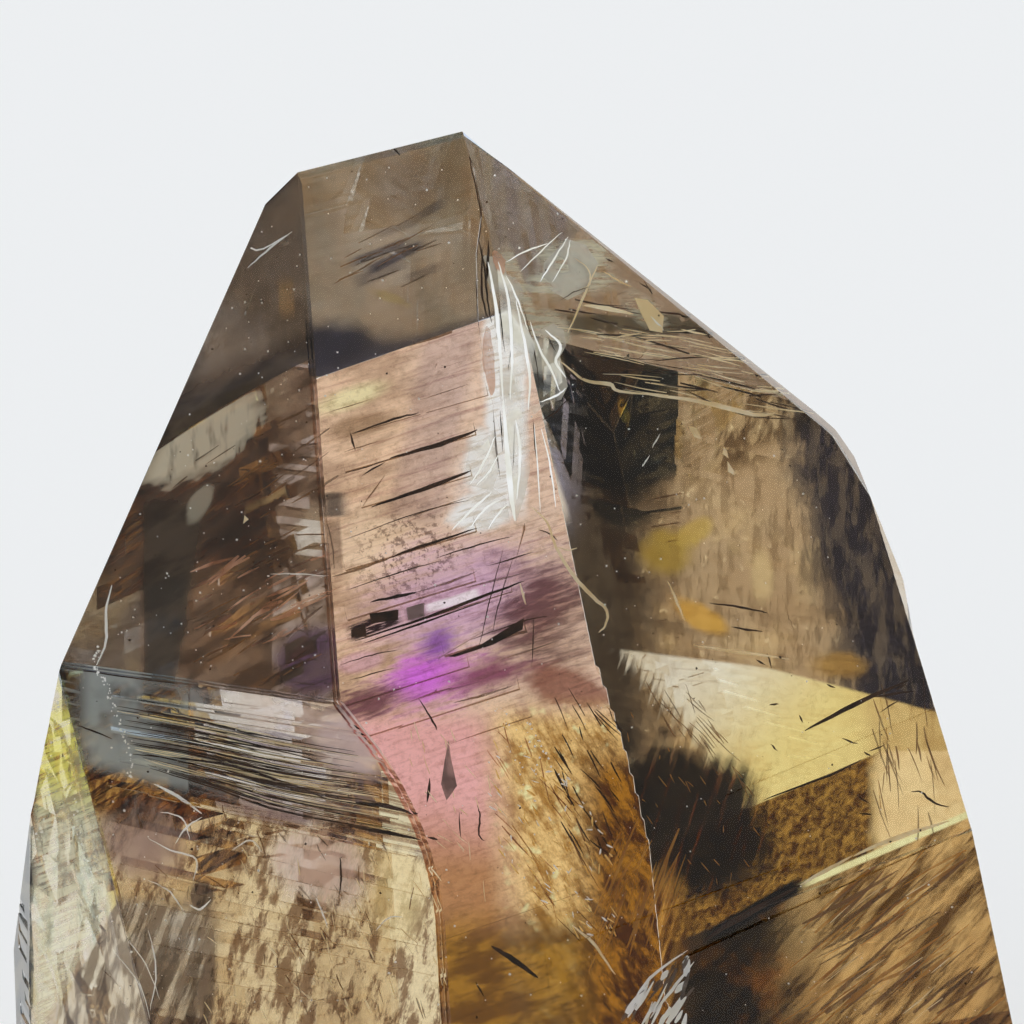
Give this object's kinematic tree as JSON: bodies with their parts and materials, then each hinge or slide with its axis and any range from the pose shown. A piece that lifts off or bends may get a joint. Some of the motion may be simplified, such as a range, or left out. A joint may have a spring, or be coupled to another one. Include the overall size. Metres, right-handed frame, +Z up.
{
  "type": "amethyst crystal",
  "caption": "Single clear smoky amethyst point with a violet zone, a lopsided pointed tip, striated sides and a flat cut foot.",
  "frame": {"origin": "middle of the crystal's bounding box in plan, on the flat cut foot it rests on", "axes": "+Z up along the crystal's long axis, towards the tip; -Y is the side seen in the picture; +X to its right"},
  "size_m": [0.0344, 0.0246, 0.0401],
  "materials": {
    "smoky_amethyst": "clear, natural glassy crystal faces; smoky brown with a violet zone and an olive cast"
  },
  "bodies": {
    "root": {"crystal": "smoky_amethyst"}
  },
  "joints": []
}
